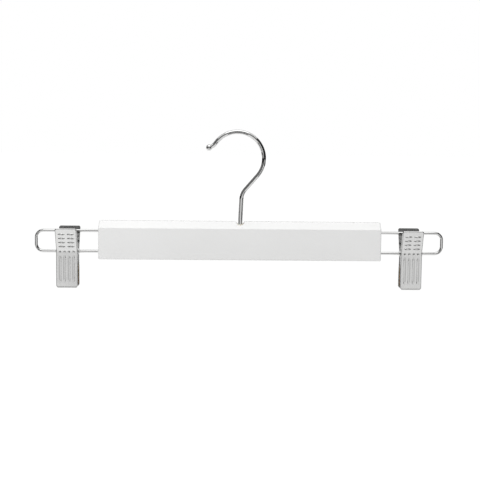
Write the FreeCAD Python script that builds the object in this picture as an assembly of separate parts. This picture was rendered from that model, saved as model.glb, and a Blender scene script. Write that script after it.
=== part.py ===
import FreeCAD
import Part
import math
import os

V = FreeCAD.Vector

# Skirt hanger: a lacquered wooden bar on a swivel hook, with a wire loop at each end
# and a sprung sheet-metal clip that slides on each loop.
# Millimetres. +X runs along the bar, -Y is the front, +Z is up.
# The origin is on the swivel axis, level with the inside of the hook's crown.

# Wooden bar
bar_length = 244.0
bar_depth = 12.5
bar_height = 33.2
bar_drop = 75.8
bar_bevel_height = 6.0
bar_bevel_depth = 5.0
bar_edge_round = 1.2
bar_end_round = 1.0

# Hook, bent from one wire; the radii are those of its centreline
hook_wire_d = 3.6
hook_crown_r = 23.0
hook_crown_offset = 3.1
hook_lean_height = 0.5
hook_lean_r = 60.0
hook_lean_deg = 2.4
hook_neck_r = 14.0
hook_neck_deg = 40.7
hook_flick_start_deg = 55.0
hook_flick_r = 10.5
hook_flick_turn_deg = 38.7
hook_ball_d = 5.2
hook_shank_depth = 25.5
hook_groove_up = 4.0
hook_groove_width = 2.0
hook_groove_depth = 0.5

# Nylon bush that holds the hook's shank
bush_d = 8.0
bush_recess = 2.6
bush_floor = 1.2
bush_edge_round = 0.4
shank_end_gap = 0.3

# Wire loops
loop_wire_d = 2.5
loop_spacing = 18.0
loop_top_depth = 9.3
loop_reach = 55.5
loop_corner_r = 6.0
loop_socket_depth = 25.0
loop_socket_end_gap = 0.5

# Clips: heights are counted from the pivot, which is the loop's lower wire
clip_from_bar_end = 27.2
sheet = 0.6
plate_width = 18.5
plate_top = 21.0
plate_tip = 31.5
plate_top_corner_r = 1.6
plate_tip_corner_r = 2.2
plate_bend_r = 0.7
waist_half_depth = 3.75
waist_bend_r = 10.0
finger_lean_deg = 14.0
finger_flange = 1.2
lip_height = 2.0
lip_bend_r = 7.5
jaw_rim_half_gap = 1.3
flange_step = 4.5
ear_r = 2.7
ear_side_gap = 0.1

# Pressed marks on the plates
emboss_rows = 4
emboss_columns = 2
emboss_length = 6.2
emboss_width = 2.0
emboss_height = 0.65
emboss_hollow_share = 0.5
emboss_pitch = 3.7
emboss_column_pitch = 7.8
emboss_top_row = 15.8
flute_count = 4
flute_pitch = 3.85
flute_top = 1.9
flute_bottom = 27.8
flute_r = 4.0
flute_depth = 0.17
flute_fade = 3.5
flute_run_on = 1.0
dimple_height = 0.2
dimple_r = 1.2
dimple_depth = 0.5

# Pivot tube and torsion spring
tube_wall = 0.32
tube_head_d = 4.7
tube_head_thickness = 0.5
tube_head_gap = 0.1
spring_wire_d = 0.7
spring_turns = 6
spring_pitch = 1.25
spring_leg = 14.0
spring_coil_gap = 0.1
spring_gap_samples = 12

# Grip pads
pad_height = 20.0
pad_half_gap = 0.15
pad_glue = 0.05
pad_side_gap = 0.15
pad_corner_r = 1.8
pad_groove_r = 0.5
pad_groove_depth = 0.25
pad_groove_pitch = 3.0
pad_groove_count = 5

# Fits: radial clearances of turning and seated pieces
swivel_clearance = 0.06
pivot_clearance = 0.06
wire_slide_clearance = 0.08
socket_clearance = 0.02
notch_clearance = 0.3

# One overrun for every cut, and how near to a place an edge is picked there
overrun = 5.0
pick_tolerance = 0.02

hook_wire_r = hook_wire_d / 2
loop_wire_r = loop_wire_d / 2
bar_top = -bar_drop
bar_bottom = bar_top - bar_height
bar_end = bar_length / 2
wire_high = bar_top - loop_top_depth
wire_low = wire_high - loop_spacing
clip_x = bar_end + clip_from_bar_end
shank_end = bar_top - hook_shank_depth
bush_top = bar_top - bush_recess
bush_length = hook_shank_depth - bush_recess + shank_end_gap + bush_floor
bush_bottom = bush_top - bush_length
tube_bore_r = loop_wire_r + wire_slide_clearance
tube_r = tube_bore_r + tube_wall
spring_wire_r = spring_wire_d / 2
spring_r = tube_r + spring_coil_gap + spring_wire_r
finger_lean = math.radians(finger_lean_deg)

QUARTER_TURN_DEG = 90
FULL_TURN_DEG = 4 * QUARTER_TURN_DEG
ALONG_X = V(1, 0, 0)
ALONG_Y = V(0, 1, 0)
ALONG_Z = V(0, 0, 1)


def line(start, end):
    """A straight edge."""
    return Part.LineSegment(start, end).toShape()


def arc(start, middle, end):
    """A circular edge through three points."""
    return Part.Arc(start, middle, end).toShape()


def polygon(points):
    """Straight edges through points."""
    return [line(a, b) for a, b in zip(points, points[1:])]


def tube_along(edges, start, heading, radius):
    """A round wire swept along edges that meet end to end."""
    circle = Part.Wire(Part.Circle(start, heading, radius).toShape())
    shell = Part.BRepOffsetAPI.MakePipeShell(Part.Wire(edges))
    shell.add(circle)
    shell.build()
    shell.makeSolid()
    return shell.shape()


def across(edges, width):
    """The section enclosed by edges, extruded to a width centred on x = 0."""
    face = Part.Face(Part.Wire(edges))
    face.translate(V(-width / 2, 0, 0))
    return face.extrude(V(width, 0, 0))


def x_cylinder(radius, x_from, x_to):
    """A cylinder on the clip's pivot axis."""
    return Part.makeCylinder(radius, x_to - x_from, V(x_from, 0, 0), ALONG_X)


def level_edges(shape, height):
    """The edges that lie flat at a height."""
    boxes = [(edge, edge.BoundBox) for edge in shape.Edges]
    return [e for e, b in boxes if abs(b.ZMin - height) < pick_tolerance and b.ZLength < pick_tolerance]


def corner_edges(shape, height):
    """The edges that run front to back at a height."""
    return [e for e in level_edges(shape, height) if e.BoundBox.XLength < pick_tolerance]


class WirePath:
    """Straight runs and tangent bends in the XZ plane, heading measured from +Z towards +X."""

    def __init__(self, start, heading_deg):
        self.point = start
        self.heading = math.radians(heading_deg)
        self.edges = []

    def forward(self, length):
        """Goes straight on."""
        step = V(math.sin(self.heading), 0, math.cos(self.heading)) * length
        self.edges.append(line(self.point, self.point + step))
        self.point = self.point + step

    def bend(self, radius, turn_deg):
        """Turns right for a positive angle and left for a negative one."""
        side = math.copysign(radius, turn_deg)
        turn = math.radians(turn_deg)
        centre = self.point + V(math.cos(self.heading), 0, -math.sin(self.heading)) * side

        def at(angle):
            return centre - V(math.cos(angle), 0, -math.sin(angle)) * side

        middle = at(self.heading + turn / 2)
        end = at(self.heading + turn)
        self.edges.append(arc(self.point, middle, end))
        self.point = end
        self.heading = self.heading + turn


def make_bar():
    """The wooden bar, bevelled along its top, with its bush bore and the loops' four sockets."""
    face = bar_depth / 2
    ridge = face - bar_bevel_depth
    shoulder = bar_top - bar_bevel_height
    section = [
        V(0, -face, bar_bottom),
        V(0, -face, shoulder),
        V(0, -ridge, bar_top),
        V(0, ridge, bar_top),
        V(0, face, shoulder),
        V(0, face, bar_bottom),
        V(0, -face, bar_bottom),
    ]
    bar = across(polygon(section), bar_length)
    bar = bar.makeFillet(bar_edge_round, [e for e in bar.Edges if e.BoundBox.XLength > bar_end])
    ends = [e for e in bar.Edges if e.BoundBox.XLength < pick_tolerance]
    bar = bar.makeFillet(bar_end_round, ends)
    bush_bore_r = bush_d / 2 + socket_clearance
    bar = bar.cut(Part.makeCylinder(bush_bore_r, bush_length + overrun, V(0, 0, bush_bottom), ALONG_Z))
    socket_r = loop_wire_r + socket_clearance
    depth = loop_socket_depth + loop_socket_end_gap
    for side in (-1, 1):
        for height in (wire_high, wire_low):
            mouth = V(side * (bar_end + overrun), 0, height)
            bar = bar.cut(Part.makeCylinder(socket_r, depth + overrun, mouth, ALONG_X * -side))
    return bar


def make_hook():
    """The hook: grooved shank, neck, crown and a flicked tip with a ball."""
    lean = math.radians(hook_lean_deg)
    neck = math.radians(hook_neck_deg)
    crown = V(-hook_crown_offset, 0, hook_wire_r - hook_crown_r)
    tangent = crown + V(math.cos(neck), 0, -math.sin(neck)) * hook_crown_r
    lean_start = bar_top + hook_lean_height
    lean_end = V(hook_lean_r * (1 - math.cos(lean)), 0, lean_start + hook_lean_r * math.sin(lean))
    across_gap = tangent - lean_end
    spread = math.sin(neck - lean)
    run_low = (across_gap.z * math.sin(neck) - across_gap.x * math.cos(neck)) / spread
    run_high = (across_gap.x * math.cos(lean) - across_gap.z * math.sin(lean)) / spread
    trim = hook_neck_r * math.tan((neck - lean) / 2)

    path = WirePath(V(0, 0, shank_end), 0)
    path.forward(lean_start - shank_end)
    path.bend(hook_lean_r, hook_lean_deg)
    path.forward(run_low - trim)
    path.bend(hook_neck_r, hook_neck_deg - hook_lean_deg)
    path.forward(run_high - trim)
    path.bend(hook_crown_r, -(hook_neck_deg + QUARTER_TURN_DEG + hook_flick_start_deg))
    path.bend(hook_flick_r, hook_flick_turn_deg)
    hook = tube_along(path.edges, V(0, 0, shank_end), ALONG_Z, hook_wire_r)
    hook = hook.fuse(Part.makeSphere(hook_ball_d / 2, path.point))
    groove_base = V(0, 0, shank_end + hook_groove_up)
    ring = Part.makeCylinder(hook_wire_r + overrun, hook_groove_width, groove_base, ALONG_Z)
    core = Part.makeCylinder(hook_wire_r - hook_groove_depth, hook_groove_width, groove_base, ALONG_Z)
    ring = ring.cut(core)
    return hook.cut(ring).removeSplitter()


def make_bush():
    """The bush: a closed sleeve with a ring that snaps into the shank's groove."""
    bush = Part.makeCylinder(bush_d / 2, bush_length, V(0, 0, bush_bottom), ALONG_Z)
    bush = bush.makeFillet(bush_edge_round, level_edges(bush, bush_top))
    bore_base = V(0, 0, bush_bottom + bush_floor)
    bore = Part.makeCylinder(hook_wire_r + swivel_clearance, bush_length + overrun, bore_base, ALONG_Z)
    bush = bush.cut(bore)
    ring_height = hook_groove_width - 2 * swivel_clearance
    ring_base = V(0, 0, shank_end + hook_groove_up + swivel_clearance)
    ring = Part.makeCylinder(hook_wire_r + (bush_d / 2 - hook_wire_r) / 2, ring_height, ring_base, ALONG_Z)
    neck_r = hook_wire_r - hook_groove_depth + swivel_clearance
    ring = ring.cut(Part.makeCylinder(neck_r, ring_height, ring_base, ALONG_Z))
    return bush.fuse(ring).removeSplitter()


def make_loop(side):
    """One wire loop: two legs seated in the bar and two bends joined by a short run."""
    inner = bar_end - loop_socket_depth
    outer = bar_end + loop_reach - loop_wire_r
    start = V(inner, 0, wire_high)
    path = WirePath(start, QUARTER_TURN_DEG)
    path.forward(outer - loop_corner_r - inner)
    path.bend(loop_corner_r, QUARTER_TURN_DEG)
    path.forward(loop_spacing - 2 * loop_corner_r)
    path.bend(loop_corner_r, QUARTER_TURN_DEG)
    path.forward(outer - loop_corner_r - inner)
    loop = tube_along(path.edges, start, ALONG_X, loop_wire_r)
    if side < 0:
        loop = loop.mirror(V(0, 0, 0), ALONG_X)
    return loop


class PlateCurve:
    """The side view of a front plate at a given depth below its outer face.

    From the top: a straight leaning finger part, a bend at the waist, an upright jaw and a
    lip that curls outwards at the tip.
    """

    def __init__(self, depth):
        self.waist_r = waist_bend_r + depth
        self.waist_y = -waist_half_depth - waist_bend_r
        self.foot = self.on_waist(finger_lean)
        self.jaw_start = self.on_waist(0)
        self.lip_r = lip_bend_r + depth
        self.lip_y = -waist_half_depth - lip_bend_r
        self.lip_start = V(0, self.jaw_start.y, lip_height - plate_tip)

    def on_waist(self, angle):
        """A point on the waist bend, at an angle above the pivot."""
        return V(0, self.waist_y + self.waist_r * math.cos(angle), self.waist_r * math.sin(angle))

    def at(self, height):
        """The point at a height above the pivot."""
        if height >= self.foot.z:
            y = self.foot.y - (height - self.foot.z) * math.tan(finger_lean)
        elif height >= self.jaw_start.z:
            y = self.waist_y + math.sqrt(self.waist_r ** 2 - height ** 2)
        elif height >= self.lip_start.z:
            y = self.jaw_start.y
        else:
            y = self.lip_y + math.sqrt(self.lip_r ** 2 - (self.lip_start.z - height) ** 2)
        return V(0, y, height)

    def edges(self, high, low):
        """Its edges from a point on the finger part down to one on the lip."""
        return [
            line(self.at(high), self.foot),
            arc(self.foot, self.on_waist(finger_lean / 2), self.jaw_start),
            line(self.jaw_start, self.lip_start),
            arc(self.lip_start, self.at((self.lip_start.z + low) / 2), self.at(low)),
        ]


def row(count, pitch):
    """Places of a centred row."""
    return [(index - (count - 1) / 2) * pitch for index in range(count)]


def plate_blank():
    """The plate's outer form: face, flanges and lips in one block, with rounded edges."""
    curve = PlateCurve(0)
    rim = PlateCurve(finger_flange)
    top = curve.at(plate_top)
    tip = curve.at(-plate_tip)
    back = [
        tip,
        V(0, -jaw_rim_half_gap, -plate_tip),
        V(0, -jaw_rim_half_gap, -ear_r),
        rim.at(flange_step),
        rim.at(plate_top),
        top,
    ]
    blank = across(curve.edges(plate_top, -plate_tip) + polygon(back), plate_width)
    for height, radius in ((plate_top, plate_top_corner_r), (-plate_tip, plate_tip_corner_r)):
        blank = blank.makeFillet(radius, corner_edges(blank, height))
    side = plate_width / 2 - plate_tip_corner_r
    outline = []
    for edge in blank.Edges:
        middle = edge.valueAt((edge.FirstParameter + edge.LastParameter) / 2)
        probes = [vertex.Point for vertex in edge.Vertexes] + [middle]
        on_face = all(abs(p.y - curve.at(p.z).y) < pick_tolerance for p in probes)
        inside = abs(middle.x) < side and -plate_tip + sheet < middle.z < plate_top - sheet
        if on_face and not inside:
            outline.append(edge)
    return blank.makeFillet(plate_bend_r, outline)


def plate_cavity():
    """What the pressing leaves free behind its face."""
    inner = PlateCurve(sheet)
    high = plate_top - sheet
    low = -plate_tip + sheet
    back = [inner.at(low), V(0, overrun, low), V(0, overrun, high), inner.at(high)]
    cavity = across(inner.edges(high, low) + polygon(back), plate_width - 2 * sheet)
    for height, radius in ((high, plate_top_corner_r), (low, plate_tip_corner_r)):
        cavity = cavity.makeFillet(radius - sheet, corner_edges(cavity, height))
    return cavity


def capsule(start, end, radius):
    """A round-ended bar between two points."""
    run = end - start
    body = Part.makeCylinder(radius, run.Length, start, run)
    body = body.fuse(Part.makeSphere(radius, start))
    return body.fuse(Part.makeSphere(radius, end))


def spindle(start, end, radius, end_radius, fade):
    """A round bar between two points that narrows evenly to an end radius over each fade."""
    way = (end - start).normalize()
    body_length = (end - start).Length - 2 * fade
    body = Part.makeCylinder(radius, body_length, start + way * fade, way)
    body = body.fuse(Part.makeCone(end_radius, radius, fade, start, way))
    return body.fuse(Part.makeCone(radius, end_radius, fade, end - way * fade, way))


def barrel(centre, half_length, radius, end_radius):
    """A barrel along X that reaches an end radius at half its length and runs on inside it."""
    fall = radius - end_radius
    bow_r = (half_length ** 2 + fall ** 2) / (2 * fall)
    inner_radius = end_radius / 2
    half_run = math.sqrt(bow_r ** 2 - (bow_r - radius + inner_radius) ** 2)
    left = centre + V(-half_run, 0, inner_radius)
    right = centre + V(half_run, 0, inner_radius)
    bow = arc(left, centre + V(0, 0, radius), right)
    ends = polygon([right, centre + V(half_run, 0, 0), centre - V(half_run, 0, 0), left])
    return Part.Face(Part.Wire([bow] + ends)).revolve(centre, ALONG_X, FULL_TURN_DEG)


def finger_embosses():
    """The raised ovals of the finger part, each as its outer form and its hollow."""
    half = emboss_width / 2
    radius = (half ** 2 + emboss_height ** 2) / (2 * emboss_height)
    sunk = radius - emboss_height
    hollow_half = V(emboss_length / 2 * emboss_hollow_share, 0, 0)
    curve = PlateCurve(0)
    inward = V(0, math.cos(finger_lean), math.sin(finger_lean))
    raised = []
    hollows = []
    for row_index in range(emboss_rows):
        height = emboss_top_row - row_index * emboss_pitch
        for x in row(emboss_columns, emboss_column_pitch):
            centre = curve.at(height) + inward * sunk + V(x, 0, 0)
            raised.append(barrel(centre, emboss_length / 2, radius, sunk))
            hollows.append(capsule(centre - hollow_half, centre + hollow_half, radius - sheet))
    return raised, hollows


def jaw_marks():
    """The flutes down the jaw and the dimple above each of them, as cutting forms.

    Each flute runs out gently at its top and bottom, and its form runs on a little past them.
    """
    face_y = -waist_half_depth
    centre_y = face_y + flute_depth - flute_r
    fade = flute_fade + flute_run_on
    end_r = flute_r - flute_depth * fade / flute_fade
    forms = []
    for x in row(flute_count, flute_pitch):
        top = V(x, centre_y, flute_run_on - flute_top)
        foot = V(x, centre_y, -flute_bottom - flute_run_on)
        forms.append(spindle(top, foot, flute_r, end_r, fade))
        forms.append(Part.makeSphere(dimple_r, V(x, face_y + dimple_depth - dimple_r, dimple_height)))
    return forms


def make_plate(is_front):
    """One pressed plate, made as a front plate and mirrored for the back.

    The front plate's ears stand in line with its flanges. The back plate's flanges are
    notched to clear them, and its own ears sit just inside.
    """
    raised, hollows = finger_embosses()
    plate = plate_blank().multiFuse(raised)
    plate = plate.cut(plate_cavity())
    for form in hollows + jaw_marks():
        plate = plate.cut(form)
    outer = plate_width / 2
    if not is_front:
        outer = outer - sheet - ear_side_gap
    for side in (-1, 1):
        ear = x_cylinder(ear_r, outer - sheet, outer)
        web_depth = waist_half_depth - sheet / 2
        if not is_front:
            notch = x_cylinder(ear_r + notch_clearance, plate_width / 2 - sheet, plate_width / 2 + overrun)
            if side < 0:
                notch = notch.mirror(V(0, 0, 0), ALONG_X)
            plate = plate.cut(notch)
            web = Part.makeBox(sheet, web_depth, 2 * ear_r, V(outer - sheet, -web_depth, -ear_r))
            ear = ear.fuse(web)
        if side < 0:
            ear = ear.mirror(V(0, 0, 0), ALONG_X)
        plate = plate.fuse(ear)
    plate = plate.cut(x_cylinder(tube_r + pivot_clearance, -plate_width, plate_width))
    plate = plate.removeSplitter()
    if not is_front:
        plate = plate.mirror(V(0, 0, 0), ALONG_Y)
    return plate


def make_pad(is_front):
    """A grooved soft pad that fills the jaw's tray and stands just proud of its rim."""
    low = -plate_tip + sheet + pad_glue
    high = low + pad_height
    back = pad_glue + sheet - waist_half_depth
    face = -pad_half_gap
    corners = [V(0, back, high), V(0, back, low), V(0, face, low), V(0, face, high), V(0, back, high)]
    pad = across(polygon(corners), plate_width - 2 * sheet - 2 * pad_side_gap)
    pad = pad.makeFillet(pad_corner_r, corner_edges(pad, low) + corner_edges(pad, high))
    grooves = []
    for offset in row(pad_groove_count, pad_groove_pitch):
        height = (low + high) / 2 + offset
        centre = V(-plate_width, face + pad_groove_r - pad_groove_depth, height)
        grooves.append(Part.makeCylinder(pad_groove_r, 2 * plate_width, centre, ALONG_X))
    pad = pad.cut(grooves)
    if not is_front:
        pad = pad.mirror(V(0, 0, 0), ALONG_Y)
    return pad


def make_pivot_tube():
    """The hollow rivet that the plates turn on and that slides along the lower wire."""
    ear_end = plate_width / 2 + tube_head_gap
    end = ear_end + tube_head_thickness
    tube = x_cylinder(tube_r, -end, end)
    tube = tube.fuse(x_cylinder(tube_head_d / 2, ear_end, end))
    tube = tube.fuse(x_cylinder(tube_head_d / 2, -end, -ear_end))
    rims = []
    for edge in tube.Edges:
        box = edge.BoundBox
        at_end = abs(abs(box.XMin) - end) < pick_tolerance and box.XLength < pick_tolerance
        if at_end and box.YLength > 2 * tube_r:
            rims.append(edge)
    tube = tube.makeFillet(tube_head_thickness / 2, rims)
    return tube.cut(x_cylinder(tube_bore_r, -end - overrun, end + overrun)).removeSplitter()


def biarc(start, start_way, end, end_way):
    """Two arcs that leave start along start_way and reach end along end_way."""
    gap = end - start
    ways = start_way + end_way
    bend = 2 * (1 - start_way.dot(end_way))
    along = gap.dot(ways)
    reach = (math.sqrt(along ** 2 + bend * gap.dot(gap)) - along) / bend
    corners = (start + start_way * reach, end - end_way * reach)
    joint = (corners[0] + corners[1]) / 2
    edges = []
    for a, corner, b in ((start, corners[0], joint), (joint, corners[1], end)):
        chord = b - a
        half_turn = (corner - a).getAngle(chord)
        middle = (a + b) / 2
        rise = (corner - middle).normalize() * (chord.Length / 2 * math.tan(half_turn / 2))
        edges.append(arc(a, middle + rise, b))
    return edges


def least_gap(edges, clear_run):
    """The least gap between stretches of wire that lie more than clear_run apart along it."""
    points = []
    run = 0
    for edge in edges:
        for point in edge.discretize(Number=spring_gap_samples)[:-1]:
            if points:
                run = run + (point - points[-1][1]).Length
            points.append((run, point))
    apart = [
        (p - q).Length
        for i, (a, p) in enumerate(points)
        for b, q in points[:i]
        if a - b > clear_run
    ]
    return min(apart) - spring_wire_d


def make_spring():
    """A torsion spring round the pivot tube, one leg along each finger part."""
    quarters = 4 * spring_turns + 2
    first = math.pi + finger_lean
    sweep = 2 * math.pi * spring_turns + math.pi - 2 * finger_lean
    rise = spring_pitch / (2 * math.pi)
    start_x = -rise * sweep / 2

    def station(share):
        """Point and direction of the winding at a share of its sweep."""
        angle = first + sweep * share
        point = V(start_x + rise * sweep * share, spring_r * math.cos(angle), spring_r * math.sin(angle))
        way = V(rise, -spring_r * math.sin(angle), spring_r * math.cos(angle))
        if share in (0, 1):
            way.x = 0
        return point, way.normalize()

    stations = [station(index / quarters) for index in range(quarters + 1)]
    top, way_down = stations[0]
    bottom, way_up = stations[-1]
    leg_top = top - way_down * spring_leg
    edges = [line(leg_top, top)]
    for (a, way_a), (b, way_b) in zip(stations, stations[1:]):
        edges += biarc(a, way_a, b, way_b)
    edges.append(line(bottom, bottom + way_up * spring_leg))
    gap = least_gap(edges, math.pi * spring_r)
    print("spring: least gap between turns %.3f mm" % gap)
    return tube_along(edges, leg_top, way_down, spring_wire_r)


def make_clip():
    """The pieces of one clip, about its pivot."""
    return {
        "pivot_tube": make_pivot_tube(),
        "spring": make_spring(),
        "front_plate": make_plate(True),
        "back_plate": make_plate(False),
        "front_pad": make_pad(True),
        "back_pad": make_pad(False),
    }


def make_hanger():
    """Every piece of the hanger by its name."""
    pieces = {
        "wooden_bar": make_bar(),
        "swivel_hook": make_hook(),
        "hook_bush": make_bush(),
        "left_wire_loop": make_loop(-1),
        "right_wire_loop": make_loop(1),
    }
    clip = make_clip()
    for name, side in (("left", -1), ("right", 1)):
        for piece, shape in clip.items():
            pieces[name + "_" + piece] = shape.translated(V(side * clip_x, 0, wire_low))
    return pieces


os.makedirs("parts", exist_ok=True)
for node, shape in make_hanger().items():
    solids = len(shape.Solids)
    print("%-18s solids %d valid %s volume %.2f" % (node, solids, shape.isValid(), shape.Volume))
    shape.exportStep("parts/" + node + ".step")
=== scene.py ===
"""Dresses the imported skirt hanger: chrome, lacquer, pads, wound springs, studio and camera."""

import logging
import math
from dataclasses import dataclass, replace
from enum import Enum

import bmesh
import bpy
from mathutils import Matrix, Vector


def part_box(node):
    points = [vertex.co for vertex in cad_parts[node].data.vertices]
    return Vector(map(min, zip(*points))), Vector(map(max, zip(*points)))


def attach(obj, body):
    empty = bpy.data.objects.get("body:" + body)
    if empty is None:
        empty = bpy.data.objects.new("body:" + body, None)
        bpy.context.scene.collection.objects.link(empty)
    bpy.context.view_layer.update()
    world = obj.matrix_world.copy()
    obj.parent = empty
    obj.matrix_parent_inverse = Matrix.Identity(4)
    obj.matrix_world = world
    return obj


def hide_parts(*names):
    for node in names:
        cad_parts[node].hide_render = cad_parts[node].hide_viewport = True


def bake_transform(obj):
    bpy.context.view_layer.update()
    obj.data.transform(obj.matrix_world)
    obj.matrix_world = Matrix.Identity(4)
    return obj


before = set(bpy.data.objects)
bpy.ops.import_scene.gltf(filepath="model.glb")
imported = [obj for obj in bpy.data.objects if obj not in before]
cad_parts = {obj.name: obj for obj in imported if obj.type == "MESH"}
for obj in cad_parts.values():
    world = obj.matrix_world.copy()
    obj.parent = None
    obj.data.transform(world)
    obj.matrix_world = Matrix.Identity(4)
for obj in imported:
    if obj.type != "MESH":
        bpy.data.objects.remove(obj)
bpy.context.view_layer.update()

log = logging.getLogger("skirt_hanger")
Colour = tuple[float, float, float]
Place = tuple[float, float, float]


class Side(Enum):
    """The end of the bar that a clip hangs from, with its sign along X."""

    LEFT = -1
    RIGHT = 1

    @property
    def prefix(self) -> str:
        """The start of the names of this side's nodes and bodies."""
        return self.name.lower() + "_"


class Jaw(Enum):
    """The two jaws of a clip, with the sign of their depth along Y."""

    FRONT = -1
    BACK = 1

    @property
    def word(self) -> str:
        """The jaw's word in node and body names."""
        return self.name.lower()


class Tree:
    """A node tree with short calls to add and join nodes."""

    def __init__(self, tree: bpy.types.NodeTree) -> None:
        """Keeps the tree and empties it."""
        self.tree = tree
        tree.nodes.clear()

    def add(self, kind: str, settings: dict | None = None, **sockets: object) -> bpy.types.Node:
        """Adds a node.

        Args:
            kind: The node's type name.
            settings: Attributes of the node.
            sockets: Input values or output sockets by input name, with _ for a space.

        Returns:
            The new node.
        """
        node = self.tree.nodes.new(kind)
        for name, value in (settings or {}).items():
            setattr(node, name, value)
        for name, value in sockets.items():
            self.feed(node.inputs[name.replace("_", " ")], value)
        return node

    def feed(self, socket: bpy.types.NodeSocket, value: object) -> None:
        """Links an output into a socket, or sets the socket's value.

        Args:
            socket: The input socket.
            value: An output socket, or a plain value or colour.
        """
        if isinstance(value, bpy.types.NodeSocket):
            self.tree.links.new(value, socket)
        elif isinstance(value, tuple) and socket.type == "RGBA":
            socket.default_value = (*value, 1.0)
        else:
            socket.default_value = value

    def math(self, operation: str, first: object, second: object) -> bpy.types.NodeSocket:
        """Joins two values by a sum.

        Args:
            operation: The sum's name in Blender.
            first: A value or an output socket.
            second: A value or an output socket.

        Returns:
            The result's socket.
        """
        node = self.add("ShaderNodeMath", {"operation": operation})
        self.feed(node.inputs[0], first)
        self.feed(node.inputs[1], second)
        return node.outputs[0]


class SharedEffects:
    """Shader groups that several finishes use, each built once."""

    # Numbers of the colour sockets of a mix node, whose names aren't unique
    mix_first = 6
    mix_second = 7
    mix_result = 2

    def __init__(self) -> None:
        """Builds the groups."""
        self.mottle = self.make_mottle()
        self.handling = self.make_handling()

    @staticmethod
    def start(
        name: str, inputs: dict[str, str], outputs: dict[str, str],
    ) -> tuple[Tree, bpy.types.Node, bpy.types.Node]:
        """Starts a shader group.

        Args:
            name: The group's name.
            inputs: Socket types by input name.
            outputs: Socket types by output name.

        Returns:
            Its tree, its input node and its output node.
        """
        group = bpy.data.node_groups.new(name, "ShaderNodeTree")
        for way, sockets in (("INPUT", inputs), ("OUTPUT", outputs)):
            for socket, kind in sockets.items():
                group.interface.new_socket(socket, in_out=way, socket_type=kind)
        tree = Tree(group)
        return tree, tree.add("NodeGroupInput"), tree.add("NodeGroupOutput")

    def make_mottle(self) -> bpy.types.NodeTree:
        """A soft drift of tone over a surface, as plating and lacquer have."""
        tree, given, result = self.start(
            "soft_mottle",
            {"Colour": "NodeSocketColor", "Darker": "NodeSocketColor", "Scale": "NodeSocketFloat",
             "Amount": "NodeSocketFloat"},
            {"Colour": "NodeSocketColor"},
        )
        place = tree.add("ShaderNodeTexCoord")
        cloud = tree.add("ShaderNodeTexNoise", Vector=place.outputs["Object"], Scale=given.outputs["Scale"],
                         Detail=4.0, Roughness=0.55)
        spread = tree.add("ShaderNodeMapRange", Value=cloud.outputs[0], From_Min=0.35, From_Max=0.7)
        share = tree.math("MULTIPLY", spread.outputs[0], given.outputs["Amount"])
        mix = tree.add("ShaderNodeMix", {"data_type": "RGBA"})
        tree.feed(mix.inputs["Factor"], share)
        tree.feed(mix.inputs[self.mix_first], given.outputs["Colour"])
        tree.feed(mix.inputs[self.mix_second], given.outputs["Darker"])
        tree.feed(result.inputs["Colour"], mix.outputs[self.mix_result])
        return tree.tree

    def make_handling(self) -> bpy.types.NodeTree:
        """Fine marks of handling and drawing: roughness and a height for bump."""
        tree, given, result = self.start(
            "handling_marks",
            {"Stretch": "NodeSocketVector", "Scale": "NodeSocketFloat", "Smooth": "NodeSocketFloat",
             "Worn": "NodeSocketFloat"},
            {"Roughness": "NodeSocketFloat", "Height": "NodeSocketFloat"},
        )
        place = tree.add("ShaderNodeTexCoord")
        drawn = tree.add("ShaderNodeMapping", Vector=place.outputs["Object"], Scale=given.outputs["Stretch"])
        fine = tree.add("ShaderNodeTexNoise", Vector=drawn.outputs[0], Scale=given.outputs["Scale"],
                        Detail=6.0, Roughness=0.65)
        smudge = tree.add("ShaderNodeTexNoise", Vector=place.outputs["Object"], Scale=90.0, Detail=3.0)
        both = tree.math("MULTIPLY", fine.outputs[0], smudge.outputs[0])
        worn = tree.add("ShaderNodeMapRange", Value=both, From_Min=0.15, From_Max=0.45,
                        To_Min=given.outputs["Smooth"], To_Max=given.outputs["Worn"])
        tree.feed(result.inputs["Roughness"], worn.outputs[0])
        tree.feed(result.inputs["Height"], fine.outputs[0])
        return tree.tree


@dataclass(frozen=True)
class Finish:
    """A surface finish: its tones, gloss and fine relief."""

    name: str
    colour: Colour
    darker: Colour
    tone_scale: float
    tone_amount: float
    smooth: float
    worn: float
    stretch: Colour
    mark_scale: float
    relief: float
    relief_depth: float
    metallic: float = 0.0
    coat: float = 0.0
    coat_roughness: float = 0.1
    soft: float = 0.0
    soft_reach: float = 0.0008

    def build(self, effects: SharedEffects) -> bpy.types.Material:
        """Builds the material.

        Args:
            effects: The shared shader groups.

        Returns:
            The new material.
        """
        material = bpy.data.materials.new(self.name)
        material.use_nodes = True
        tree = Tree(material.node_tree)
        tone = tree.add("ShaderNodeGroup", {"node_tree": effects.mottle}, Colour=self.colour,
                        Darker=self.darker, Scale=self.tone_scale, Amount=self.tone_amount)
        marks = tree.add("ShaderNodeGroup", {"node_tree": effects.handling}, Stretch=self.stretch,
                         Scale=self.mark_scale, Smooth=self.smooth, Worn=self.worn)
        bump = tree.add("ShaderNodeBump", Strength=self.relief, Distance=self.relief_depth,
                        Height=marks.outputs["Height"])
        shader = tree.add(
            "ShaderNodeBsdfPrincipled", Base_Color=tone.outputs["Colour"],
            Roughness=marks.outputs["Roughness"], Normal=bump.outputs[0], Metallic=self.metallic,
            Coat_Weight=self.coat, Coat_Roughness=self.coat_roughness, Subsurface_Weight=self.soft,
            Subsurface_Scale=self.soft_reach,
        )
        tree.add("ShaderNodeOutputMaterial", Surface=shader.outputs[0])
        return material


EVEN = (1.0, 1.0, 1.0)
ALONG_THE_GRAIN = (0.06, 1.0, 1.0)

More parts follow.
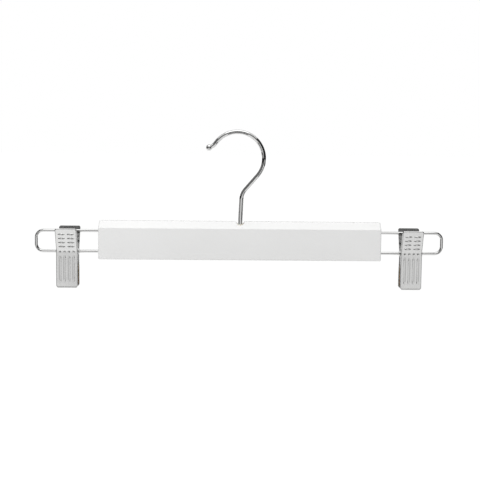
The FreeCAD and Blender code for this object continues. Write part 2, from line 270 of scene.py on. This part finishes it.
CHROME = Finish(
    name="bright_chrome", colour=(0.61, 0.61, 0.605), darker=(0.56, 0.56, 0.555),
    tone_scale=60.0, tone_amount=0.5, smooth=0.035, worn=0.09, stretch=EVEN, mark_scale=700.0,
    relief=0.02, relief_depth=0.0001, metallic=1.0,
)
SATIN_CHROME = replace(CHROME, name="satin_chrome", smooth=0.12, worn=0.18)
LACQUER = Finish(
    name="white_lacquer", colour=(0.80, 0.80, 0.795), darker=(0.77, 0.77, 0.765),
    tone_scale=14.0, tone_amount=0.6, smooth=0.30, worn=0.42, stretch=ALONG_THE_GRAIN, mark_scale=420.0,
    relief=0.08, relief_depth=0.0003, coat=1.0, coat_roughness=0.08,
)
SPRING_STEEL = Finish(
    name="drawn_spring_steel", colour=(0.50, 0.50, 0.51), darker=(0.36, 0.36, 0.37),
    tone_scale=120.0, tone_amount=0.7, smooth=0.18, worn=0.34, stretch=EVEN, mark_scale=900.0,
    relief=0.06, relief_depth=0.0001, metallic=1.0,
)
NYLON = Finish(
    name="natural_nylon", colour=(0.86, 0.83, 0.73), darker=(0.81, 0.77, 0.66),
    tone_scale=80.0, tone_amount=0.6, smooth=0.42, worn=0.55, stretch=EVEN, mark_scale=500.0,
    relief=0.1, relief_depth=0.0002, soft=0.2,
)
VINYL = Finish(
    name="tan_vinyl", colour=(0.70, 0.56, 0.38), darker=(0.60, 0.46, 0.30),
    tone_scale=70.0, tone_amount=0.7, smooth=0.40, worn=0.58, stretch=EVEN, mark_scale=800.0,
    relief=0.25, relief_depth=0.0003, soft=0.15,
)


class Workshop:
    """Holds the built materials and dresses pieces with them."""

    def __init__(self) -> None:
        """Builds the shared groups and starts with no material."""
        self.effects = SharedEffects()
        self.made: dict[str, bpy.types.Material] = {}

    def material(self, finish: Finish) -> bpy.types.Material:
        """The material of a finish, built at its first use.

        Args:
            finish: The finish.

        Returns:
            Its one material.
        """
        if finish.name not in self.made:
            self.made[finish.name] = finish.build(self.effects)
        return self.made[finish.name]

    def dress(self, piece: bpy.types.Object, finish: Finish) -> None:
        """Gives a piece one finish all over.

        Args:
            piece: The mesh object.
            finish: Its finish.
        """
        piece.data.materials.clear()
        piece.data.materials.append(self.material(finish))
        log.info("%s: %s", piece.name, finish.name)


def new_piece(name: str, mesh: bmesh.types.BMesh) -> bpy.types.Object:
    """Makes a scene object of a finished mesh.

    Args:
        name: The piece's name.
        mesh: Its mesh, which is freed.

    Returns:
        The object.
    """
    data = bpy.data.meshes.new(name)
    mesh.to_mesh(data)
    mesh.free()
    piece = bpy.data.objects.new(name, data)
    bpy.context.scene.collection.objects.link(piece)
    return piece


@dataclass
class Bar:
    """The wooden bar with the bush of its hook."""

    bar_node: str = "wooden_bar"
    bush_node: str = "hook_bush"

    def dress(self, workshop: Workshop) -> None:
        """Dresses the bar and the bush."""
        workshop.dress(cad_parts[self.bar_node], LACQUER)
        workshop.dress(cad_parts[self.bush_node], NYLON)


@dataclass
class Hook:
    """The swivel hook."""

    node: str = "swivel_hook"

    def dress(self, workshop: Workshop) -> None:
        """Dresses the hook."""
        workshop.dress(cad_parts[self.node], CHROME)


@dataclass
class TorsionSpring:
    """A spring wound round a clip's pivot, one leg along each finger part. Metres."""

    side: Side
    pivot: Vector
    wire_r: float = 0.00035
    coil_r: float = 0.0021
    pitch: float = 0.00125
    turns: int = 6
    leg: float = 0.014
    leg_steps: int = 6
    lean: float = math.radians(14.0)
    steps_per_turn: int = 40
    wire_sides: int = 14

    @property
    def sweep(self) -> float:
        """The angle that the winding turns through."""
        return 2 * math.pi * self.turns + math.pi - 2 * self.lean

    def winding(self, share: float) -> Vector:
        """Finds a point of the winding.

        Args:
            share: The share of the sweep, from 0 to 1.

        Returns:
            The wire's middle there.
        """
        angle = math.pi + self.lean + self.sweep * share
        along = self.pitch * self.sweep / (2 * math.pi) * (share - 0.5)
        return self.pivot + Vector((along, self.coil_r * math.cos(angle), self.coil_r * math.sin(angle)))

    def half_line(self, jaw: Jaw) -> list[Vector]:
        """The centreline from the middle of the winding to the top of one leg.

        Args:
            jaw: The jaw that the leg presses on.

        Returns:
            The points, middle first.
        """
        count = round(self.sweep / (4 * math.pi) * self.steps_per_turn)
        points = [self.winding(0.5 + jaw.value * step / (2 * count)) for step in range(count + 1)]
        way = Vector((0, jaw.value * math.sin(self.lean), math.cos(self.lean)))
        stride = way * (self.leg / self.leg_steps)
        return points + [points[-1] + stride * step for step in range(1, self.leg_steps + 1)]

    def build_half(self, jaw: Jaw) -> bpy.types.Object:
        """Builds one half of the spring as a round wire.

        Args:
            jaw: The jaw that the half's leg presses on.

        Returns:
            The mesh object.
        """
        line = self.half_line(jaw)
        mesh = bmesh.new()
        rings = []
        across = Vector((1, 0, 0))
        for index, point in enumerate(line):
            ahead = (line[min(index + 1, len(line) - 1)] - line[max(index - 1, 0)]).normalized()
            across = (across - ahead * across.dot(ahead)).normalized()
            other = ahead.cross(across)
            turns = [2 * math.pi * step / self.wire_sides for step in range(self.wire_sides)]
            spokes = [across * math.cos(turn) + other * math.sin(turn) for turn in turns]
            rings.append([mesh.verts.new(point + spoke * self.wire_r) for spoke in spokes])
        for low, high in zip(rings, rings[1:]):
            for step in range(self.wire_sides):
                after = (step + 1) % self.wire_sides
                mesh.faces.new((low[step], low[after], high[after], high[step])).smooth = True
        mesh.faces.new(list(reversed(rings[0])))
        mesh.faces.new(rings[-1])
        bmesh.ops.recalc_face_normals(mesh, faces=mesh.faces)
        return new_piece(f"{self.side.prefix}spring_{jaw.word}_half", mesh)

    def build(self, workshop: Workshop) -> None:
        """Builds both halves in place of the CAD spring and dresses them.

        Args:
            workshop: Where the material comes from.
        """
        spring = self.side.prefix + "spring"
        for jaw in Jaw:
            piece = self.build_half(jaw)
            workshop.dress(piece, SPRING_STEEL)
            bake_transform(piece)
            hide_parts(spring)


@dataclass
class GripPad:
    """A soft ribbed pad in a jaw's tray, with rounded corners and edges. Metres."""

    side: Side
    jaw: Jaw
    corner_r: float = 0.0018
    edge_r: float = 0.0004
    rib_pitch: float = 0.003
    rib_count: int = 5
    groove_depth: float = 0.00025
    groove_half: float = 0.0005
    steps_across: int = 20
    steps_up: int = 110
    sharp_angle: float = math.radians(50.0)

    @property
    def node(self) -> str:
        """The CAD pad's name."""
        return f"{self.side.prefix}{self.jaw.word}_pad"

    def sink(self, x: float, z: float, half: float, middle: float, half_height: float) -> float:
        """How far the grip face lies below its crown: in a groove or at a rounded edge.

        Args:
            x: The place across the pad, from its middle.
            z: The height in the frame.
            half: Half the pad's width at this height.
            middle: The height of the pad's middle.
            half_height: Half the pad's height.

        Returns:
            The depth below the crown.
        """
        nearest = round((z - middle) / self.rib_pitch)
        nearest = max(-(self.rib_count // 2), min(self.rib_count // 2, nearest))
        off = abs(z - middle - nearest * self.rib_pitch) / self.groove_half
        groove = self.groove_depth * (0.5 + 0.5 * math.cos(math.pi * min(off, 1.0)))
        rim = min(half - abs(x), half_height - abs(z - middle))
        fall = max(0.0, self.edge_r - rim)
        return groove + self.edge_r - math.sqrt(max(0.0, self.edge_r**2 - fall**2))

    @staticmethod
    def rim(rows: list[list[bmesh.types.BMVert]]) -> list[bmesh.types.BMVert]:
        """Walks once round the border of a grid.

        Args:
            rows: The grid's corners, row by row.

        Returns:
            The corners on its border, in order.
        """
        far_side = [row[-1] for row in rows[1:]]
        near_side = [row[0] for row in rows[-2:0:-1]]
        return rows[0] + far_side + rows[-1][-2::-1] + near_side

    def build(self, workshop: Workshop) -> None:
        """Builds the pad in place of the CAD one and dresses it.

        Args:
            workshop: Where the material comes from.
        """
        low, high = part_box(self.node)
        middle, centre = (low.z + high.z) / 2, (low.x + high.x) / 2
        half_height = (high.z - low.z) / 2
        face, back = (high.y, low.y) if self.jaw is Jaw.FRONT else (low.y, high.y)
        inward = math.copysign(1.0, back - face)
        mesh = bmesh.new()
        rows: list[list[bmesh.types.BMVert]] = []
        backs: list[list[bmesh.types.BMVert]] = []
        for step in range(self.steps_up + 1):
            z = low.z + (high.z - low.z) * step / self.steps_up
            into = max(0.0, self.corner_r - half_height + abs(z - middle))
            half = (high.x - low.x) / 2 - self.corner_r + math.sqrt(max(0.0, self.corner_r**2 - into**2))
            shares = [2 * n / self.steps_across - 1 for n in range(self.steps_across + 1)]
            across = [half * math.sin(math.pi / 2 * share) for share in shares]
            depth = [self.sink(x, z, half, middle, half_height) for x in across]
            rows.append([mesh.verts.new((centre + x, face + inward * d, z)) for x, d in zip(across, depth)])
            backs.append([mesh.verts.new((centre + x, back, z)) for x in across])
        loop = self.rim(rows)
        under = self.rim(backs)
        for grid in (rows, backs):
            for lower, upper in zip(grid, grid[1:]):
                for n in range(self.steps_across):
                    mesh.faces.new((lower[n], lower[n + 1], upper[n + 1], upper[n])).smooth = True
        for n in range(len(loop)):
            after = (n + 1) % len(loop)
            mesh.faces.new((loop[n], loop[after], under[after], under[n])).smooth = True
        bmesh.ops.recalc_face_normals(mesh, faces=mesh.faces)
        for edge in mesh.edges:
            edge.smooth = edge.calc_face_angle(0.0) < self.sharp_angle
        piece = new_piece(self.node + "_ribbed", mesh)
        workshop.dress(piece, VINYL)
        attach(piece, f"{self.side.prefix}{self.jaw.word}_jaw")
        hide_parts(self.node)


@dataclass
class Clip:
    """A wire loop and the sprung clip that slides on it."""

    side: Side

    def dress(self, workshop: Workshop) -> None:
        """Dresses the loop, plates, pads and pivot, and winds the spring.

        Args:
            workshop: Where the materials come from.
        """
        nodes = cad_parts
        for part in ("wire_loop", "pivot_tube"):
            workshop.dress(nodes[self.side.prefix + part], CHROME)
        for jaw in Jaw:
            workshop.dress(nodes[f"{self.side.prefix}{jaw.word}_plate"], SATIN_CHROME)
        for jaw in Jaw:
            GripPad(self.side, jaw).build(workshop)
        low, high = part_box(self.side.prefix + "pivot_tube")
        TorsionSpring(self.side, (low + high) / 2).build(workshop)


class Cloth(Enum):
    """The studio's cloths, with the share of light that each gives back."""

    DARK = 0.03
    GREY = 0.16
    LIGHT = 0.30
    PALE = 0.45
    WHITE = 0.85

    @property
    def material_name(self) -> str:
        """The name of the cloth's material."""
        return self.name.lower() + "_curtain"


@dataclass(frozen=True)
class Curtain:
    """An upright cloth that faces the middle of the studio. Metres."""

    name: str
    x: float
    y: float
    width: float
    foot: float
    top: float
    cloth: Cloth


@dataclass(frozen=True)
class Mat:
    """A cloth that lies on the floor. Metres."""

    name: str
    x: float
    y: float
    width: float
    length: float
    cloth: Cloth


@dataclass(frozen=True)
class Lamp:
    """A square soft lamp. Metres and watts."""

    name: str
    place: Place
    size: float
    power: float
    mirrored: bool


CURTAINS = (
    Curtain("curtain_front_low", 0.0, -2.4, 4.6, -0.25, 0.15, Cloth.DARK),
    Curtain("curtain_front_high", 0.0, -2.4, 4.6, 0.15, 2.2, Cloth.LIGHT),
    Curtain("curtain_back", 0.0, 1.6, 4.6, 0.30, 1.5, Cloth.DARK),
    Curtain("curtain_middle_low", 0.0, 1.0, 0.7, -0.45, -0.345, Cloth.DARK),
    Curtain("curtain_middle_high", 0.0, 1.0, 0.7, -0.25, -0.01, Cloth.DARK),
    Curtain("curtain_left_low", -1.2, -0.2, 3.6, -0.45, -0.30, Cloth.GREY),
    Curtain("curtain_left_middle", -1.2, -0.2, 3.6, -0.30, -0.14, Cloth.PALE),
    Curtain("curtain_left_band", -1.2, -0.2, 3.6, -0.14, 0.08, Cloth.DARK),
    Curtain("curtain_left_high", -1.2, -0.2, 3.6, 0.08, 1.1, Cloth.LIGHT),
    Curtain("curtain_right_low", 1.2, -0.2, 3.6, -0.45, -0.30, Cloth.GREY),
    Curtain("curtain_right_middle", 1.2, -0.2, 3.6, -0.30, -0.14, Cloth.PALE),
    Curtain("curtain_right_high", 1.2, -0.2, 3.6, -0.14, 1.1, Cloth.DARK),
)
MATS = (
    Mat("mat_left", -0.80, -0.575, 0.70, 0.75, Cloth.DARK),
    Mat("mat_middle", 0.0, -0.575, 0.32, 0.75, Cloth.DARK),
    Mat("mat_right", 0.80, -0.575, 0.70, 0.75, Cloth.DARK),
    Mat("mat_far", 0.0, -1.35, 0.8, 0.8, Cloth.WHITE),
)
LAMPS = (
    Lamp("overhead", (0.0, -0.25, 1.2), 1.2, 5.6, True),
    Lamp("front", (-0.7, -0.8, 0.3), 0.8, 3.5, False),
)


@dataclass
class Studio:
    """Floor, curtains, lamps, surround and camera. Metres and degrees."""

    floor_height: float = -0.45
    floor_size: float = 14.0
    floor_tone: float = 0.8
    near_white: float = 0.34
    far_white: float = 0.50
    fade_start: float = 0.5
    fade_end: float = 3.5
    mat_lift: float = 0.002
    lamp_aim: Place = (0.0, 0.0, -0.09)
    camera_place: Place = (-0.0112, -0.5602, 0.016)
    camera_pitch: float = 3.2
    camera_turn: float = 1.05
    camera_roll: float = 0.65
    lens: float = 48.75
    sensor: float = 36.0
    shift: float = -0.1840
    ambient: float = 0.70

    def seen_or_mirrored(self, tree: Tree) -> bpy.types.NodeSocket:
        """Marks what the camera sees directly, in metal or through glass.

        Args:
            tree: The material's or world's tree.

        Returns:
            A mask that is 1 there.
        """
        path = tree.add("ShaderNodeLightPath")
        mirrored = tree.math("MAXIMUM", path.outputs["Is Glossy Ray"], path.outputs["Is Transmission Ray"])
        return tree.math("MAXIMUM", path.outputs["Is Camera Ray"], mirrored)

    def surround(self) -> None:
        """A white surround to the eye and in metal, and a softer one as light."""
        world = bpy.data.worlds.new("studio_surround")
        bpy.context.scene.world = world
        world.use_nodes = True
        tree = Tree(world.node_tree)
        light = tree.add("ShaderNodeBackground", Color=(1.0, 1.0, 1.0), Strength=self.ambient)
        white = tree.add("ShaderNodeBackground", Color=(1.0, 1.0, 1.0), Strength=1.0)
        mix = tree.add("ShaderNodeMixShader", Fac=self.seen_or_mirrored(tree))
        tree.feed(mix.inputs[1], light.outputs[0])
        tree.feed(mix.inputs[2], white.outputs[0])
        tree.add("ShaderNodeOutputWorld", Surface=mix.outputs[0])

    def plane(self, name: str, centre: Place, width: float, height: float, normal: Place) -> bpy.types.Object:
        """A flat sheet of the studio.

        Args:
            name: Its name.
            centre: Its middle.
            width: Its level size.
            height: Its other size.
            normal: The way it faces.

        Returns:
            The sheet.
        """
        data = bpy.data.meshes.new(name)
        corners = [(-width / 2, -height / 2, 0), (width / 2, -height / 2, 0), (width / 2, height / 2, 0),
                   (-width / 2, height / 2, 0)]
        data.from_pydata(corners, [], [(0, 1, 2, 3)])
        sheet = bpy.data.objects.new(name, data)
        bpy.context.scene.collection.objects.link(sheet)
        sheet.rotation_mode = "QUATERNION"
        sheet.rotation_quaternion = Vector(normal).to_track_quat("Z", "Y")
        sheet.location = centre
        return sheet

    def floor(self) -> None:
        """A pale floor far below the hanger that reads as white and keeps a soft shadow."""
        centre = (0, 0, self.floor_height)
        sheet = self.plane("pale_floor", centre, self.floor_size, self.floor_size, (0, 0, 1))
        material = bpy.data.materials.new("pale_floor")
        material.use_nodes = True
        tree = Tree(material.node_tree)
        matt = tree.add("ShaderNodeBsdfDiffuse", Color=(self.floor_tone,) * 3)
        place = tree.add("ShaderNodeTexCoord")
        away = tree.add("ShaderNodeVectorMath", {"operation": "LENGTH"})
        tree.feed(away.inputs[0], place.outputs["Object"])
        fade = tree.add("ShaderNodeMapRange", Value=away.outputs["Value"], From_Min=self.fade_start,
                        From_Max=self.fade_end, To_Min=self.near_white, To_Max=self.far_white)
        share = tree.math("MULTIPLY", self.seen_or_mirrored(tree), fade.outputs[0])
        white = tree.add("ShaderNodeEmission", Color=(1.0, 1.0, 1.0), Strength=share)
        both = tree.add("ShaderNodeAddShader")
        tree.feed(both.inputs[0], matt.outputs[0])
        tree.feed(both.inputs[1], white.outputs[0])
        tree.add("ShaderNodeOutputMaterial", Surface=both.outputs[0])
        sheet.data.materials.append(material)

    def curtains(self) -> None:
        """Hangs and lays the cloths that only metal mirrors, for the dark and pale lines in its curves."""
        materials = {cloth: self.make_cloth(cloth) for cloth in Cloth}
        for curtain in CURTAINS:
            facing = (-curtain.x, 0, 0) if curtain.x else (0, -curtain.y, 0)
            centre = (curtain.x, curtain.y, (curtain.foot + curtain.top) / 2)
            sheet = self.plane(curtain.name, centre, curtain.width, curtain.top - curtain.foot, facing)
            self.mirrored_only(sheet, materials[curtain.cloth])
        for mat in MATS:
            centre = (mat.x, mat.y, self.floor_height + self.mat_lift)
            sheet = self.plane(mat.name, centre, mat.width, mat.length, (0, 0, 1))
            self.mirrored_only(sheet, materials[mat.cloth])

    @staticmethod
    def make_cloth(cloth: Cloth) -> bpy.types.Material:
        """Makes a plain matt cloth for the studio.

        Args:
            cloth: Which cloth.

        Returns:
            Its material.
        """
        material = bpy.data.materials.new(cloth.material_name)
        material.use_nodes = True
        tree = Tree(material.node_tree)
        matt = tree.add("ShaderNodeBsdfDiffuse", Color=(cloth.value,) * 3)
        tree.add("ShaderNodeOutputMaterial", Surface=matt.outputs[0])
        return material

    @staticmethod
    def mirrored_only(sheet: bpy.types.Object, material: bpy.types.Material) -> None:
        """Lets a sheet show in metal, with no part in light or shadow.

        Args:
            sheet: The sheet.
            material: Its cloth.
        """
        sheet.data.materials.append(material)
        sheet.visible_camera = False
        sheet.visible_diffuse = False
        sheet.visible_shadow = False

    def lamps(self) -> None:
        """Hangs a soft lamp overhead and a softer one in front on the left, which metal doesn't mirror."""
        for lamp in LAMPS:
            light = bpy.data.lights.new(lamp.name, "AREA")
            light.size = lamp.size
            light.energy = lamp.power
            holder = bpy.data.objects.new(lamp.name, light)
            bpy.context.scene.collection.objects.link(holder)
            holder.visible_glossy = lamp.mirrored
            holder.location = lamp.place
            holder.rotation_mode = "QUATERNION"
            holder.rotation_quaternion = (Vector(self.lamp_aim) - Vector(lamp.place)).to_track_quat("-Z", "Y")

    def camera(self) -> None:
        """A camera in front, a little above the bar and to the left, at the photograph's angle."""
        data = bpy.data.cameras.new("camera")
        data.lens = self.lens
        data.sensor_width = self.sensor
        data.shift_y = self.shift
        holder = bpy.data.objects.new("camera", data)
        bpy.context.scene.collection.objects.link(holder)
        tilt = Matrix.Rotation(math.radians(90 - self.camera_pitch), 4, "X")
        turn = Matrix.Rotation(math.radians(-self.camera_turn), 4, "Z")
        roll = Matrix.Rotation(math.radians(self.camera_roll), 4, "Z")
        holder.matrix_world = Matrix.Translation(self.camera_place) @ turn @ tilt @ roll
        bpy.context.scene.camera = holder

    def build(self) -> None:
        """Sets up the whole studio."""
        self.surround()
        self.floor()
        self.curtains()
        self.lamps()
        self.camera()
        bpy.context.scene.view_settings.view_transform = "Standard"


def main() -> None:
    """Builds the sub-assemblies in order, then the studio."""
    logging.basicConfig(level=logging.INFO, format="%(name)s: %(message)s")
    workshop = Workshop()
    Bar().dress(workshop)
    Hook().dress(workshop)
    for side in Side:
        Clip(side).dress(workshop)
    Studio().build()


if __name__ == "__main__":
    main()
